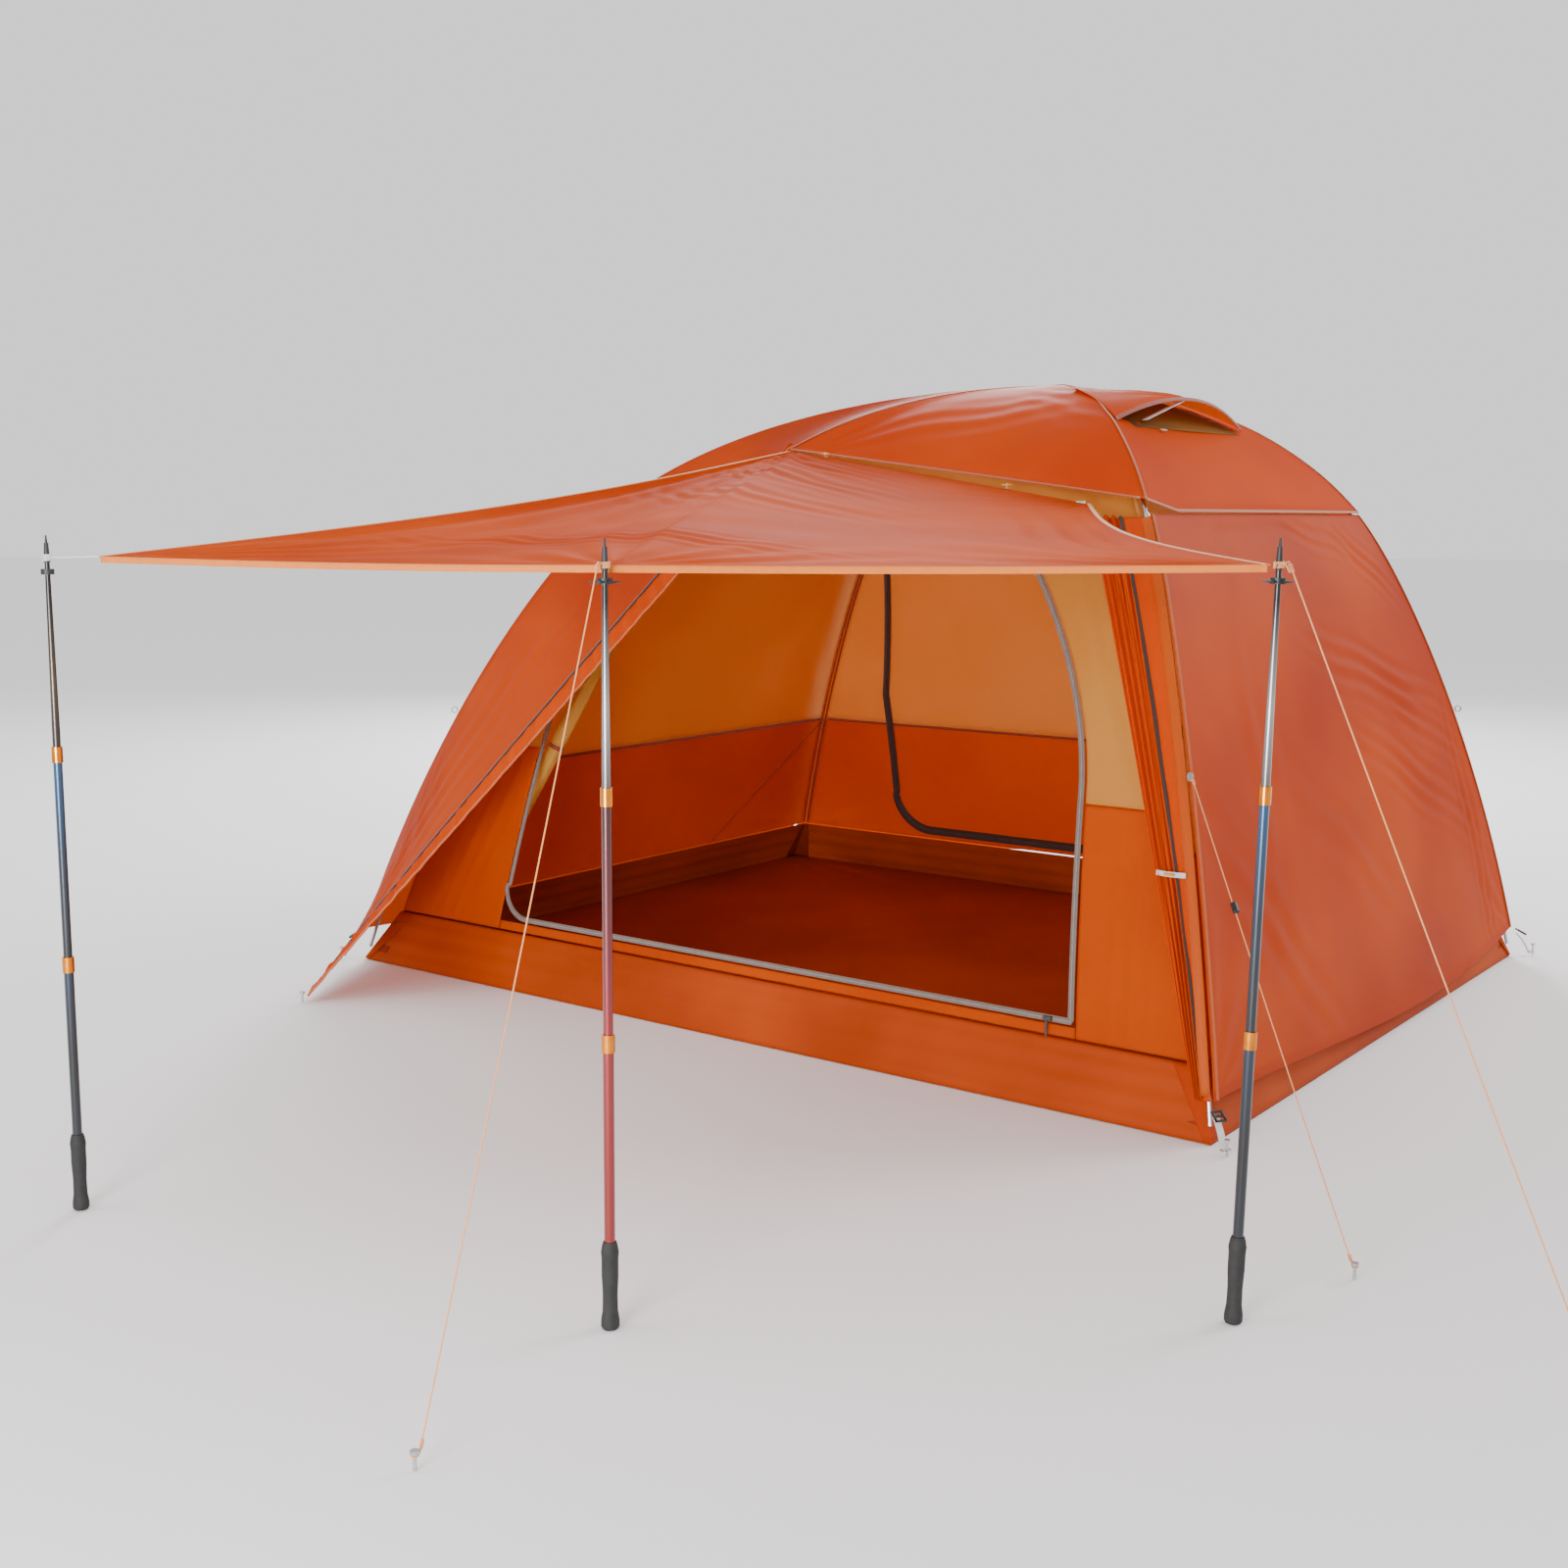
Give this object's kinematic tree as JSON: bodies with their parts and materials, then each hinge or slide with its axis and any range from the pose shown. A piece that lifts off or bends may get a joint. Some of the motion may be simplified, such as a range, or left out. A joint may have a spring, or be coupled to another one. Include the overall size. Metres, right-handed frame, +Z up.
{
  "type": "dome tent with an awning on poles",
  "caption": "Family dome tent on a hubbed pole frame, its front panel spread as an awning on trekking poles and guy lines.",
  "frame": {"origin": "centre of the floor, on the ground", "axes": "+X along the door side to the right as seen from outside the door, +Y from the door side to the back, +Z up"},
  "size_m": [3.8534, 4.906, 1.6999],
  "materials": {
    "fly_cloth": "satin",
    "roof_cloth": "satin",
    "tub_cloth": "satin",
    "inner_cloth": "satin",
    "zip_grey": "matte",
    "zip_brown": "matte",
    "slider_metal": "satin",
    "cord_red": "satin",
    "pole_alloy": "satin",
    "black_plastic": "matte",
    "webbing": "satin",
    "stake_metal": "satin",
    "mesh_cloth": "satin",
    "grey_loop": "satin",
    "toggle": "satin",
    "white_cord": "satin",
    "guy_orange": "satin",
    "grip_foam": "satin",
    "shaft_blue": "satin",
    "shaft_red": "satin",
    "shaft_dark": "satin",
    "shaft_silver": "satin",
    "collar_gold": "satin",
    "vent_stay": "matte"
  },
  "bodies": {
    "tent": {"floor_tub": "tub_cloth", "inner_lower_walls": "inner_cloth", "inner_upper_walls": "inner_cloth", "inner_front_wall": "inner_cloth", "door_zip": "zip_grey", "back_zip": "zip_brown", "door_roll": "inner_cloth", "tension_cords": "cord_red", "pole_hub": "black_plastic", "front_legs": "pole_alloy", "back_legs": "pole_alloy", "roof_cross_pole": "pole_alloy", "pole_sleeves": "pole_alloy", "pole_clips": "black_plastic", "corner_webbing": "webbing", "corner_buckles": "black_plastic", "corner_pins": "stake_metal", "fly_roof": "roof_cloth", "fly_left_end": "fly_cloth", "fly_right_end": "fly_cloth", "fly_front_wing": "fly_cloth", "fly_front_strip": "roof_cloth", "fly_back_vestibule": "fly_cloth", "vent_flap": "roof_cloth", "vent_mesh": "mesh_cloth", "tie_back_strap": "webbing", "tie_back_toggle": "toggle", "guyout_loops": "grey_loop", "fly_stakes": "stake_metal", "awning": "fly_cloth", "awning_toggles": "toggle", "awning_corner_cord": "white_cord", "guy_line_centre": "guy_orange", "guy_line_right": "guy_orange", "guy_line_corner": "guy_orange", "guy_stakes": "stake_metal", "prop_grips": "grip_foam", "prop_upper_shafts": "shaft_dark", "prop_upper_collars": "collar_gold"},
    "door_slider": {"door_slider": "slider_metal"},
    "back_slider": {"back_slider": "slider_metal"},
    "vent_prop": {"vent_prop": "vent_stay"},
    "corner_line_lock": {"corner_line_lock": "black_plastic"},
    "left_middle": {"left_middle_shaft": "shaft_blue", "left_middle_collar": "collar_gold"},
    "left_top": {"left_lower_shaft": "shaft_silver", "left_basket": "black_plastic", "left_tip": "black_plastic"},
    "centre_middle": {"centre_middle_shaft": "shaft_red", "centre_middle_collar": "collar_gold"},
    "centre_top": {"centre_lower_shaft": "shaft_silver", "centre_basket": "black_plastic", "centre_tip": "black_plastic"},
    "right_middle": {"right_middle_shaft": "shaft_blue", "right_middle_collar": "collar_gold"},
    "right_top": {"right_lower_shaft": "shaft_silver", "right_basket": "black_plastic", "right_tip": "black_plastic"}
  },
  "joints": [
    {"name": "centre_top_slide", "type": "slide", "parent": "tent", "child": "centre_top", "axis": [0.0046, 0.0046, 1], "range_m": [-0.26, 0], "deforming": ["awning", "guy_line_centre"]},
    {"name": "centre_middle_slide", "type": "slide", "parent": "tent", "child": "centre_middle", "axis": [0.0046, 0.0046, 1], "range_m": [-0.13, 0]},
    {"name": "left_top_slide", "type": "slide", "parent": "tent", "child": "left_top", "axis": [0.0031, 0.0031, 1], "range_m": [-0.26, 0], "deforming": ["awning_corner_cord", "awning"]},
    {"name": "left_middle_slide", "type": "slide", "parent": "tent", "child": "left_middle", "axis": [0.0031, 0.0031, 1], "range_m": [-0.13, 0]},
    {"name": "right_top_slide", "type": "slide", "parent": "tent", "child": "right_top", "axis": [0.02, 0.0085, 0.9998], "range_m": [-0.26, 0], "deforming": ["awning", "guy_line_right"]},
    {"name": "right_middle_slide", "type": "slide", "parent": "tent", "child": "right_middle", "axis": [0.02, 0.0085, 0.9998], "range_m": [-0.13, 0]},
    {"name": "door_zip_slide", "type": "slide", "parent": "tent", "child": "door_slider", "axis": [-1, 0, 0], "range_m": [0, 1.3]},
    {"name": "back_zip_slide", "type": "slide", "parent": "tent", "child": "back_slider", "axis": [-1, 0, 0], "range_m": [0, 0.9]},
    {"name": "vent_prop_fold", "type": "hinge", "parent": "tent", "child": "vent_prop", "pos_m": [0.77415, -0.266, 1.58356], "axis": [1, 0, 0], "range_deg": [-17, 0], "deforming": ["vent_flap"]},
    {"name": "line_lock_slide", "type": "slide", "parent": "tent", "child": "corner_line_lock", "axis": [0.5392, -0.5476, -0.6399], "range_m": [-0.12, 0.12]}
  ],
  "couplings": [
    {"joint": "left_top_slide", "follows": "centre_top_slide", "ratio": 1},
    {"joint": "right_top_slide", "follows": "centre_top_slide", "ratio": 1},
    {"joint": "left_middle_slide", "follows": "centre_top_slide", "ratio": 0.5},
    {"joint": "centre_middle_slide", "follows": "centre_top_slide", "ratio": 0.5},
    {"joint": "right_middle_slide", "follows": "centre_top_slide", "ratio": 0.5}
  ]
}
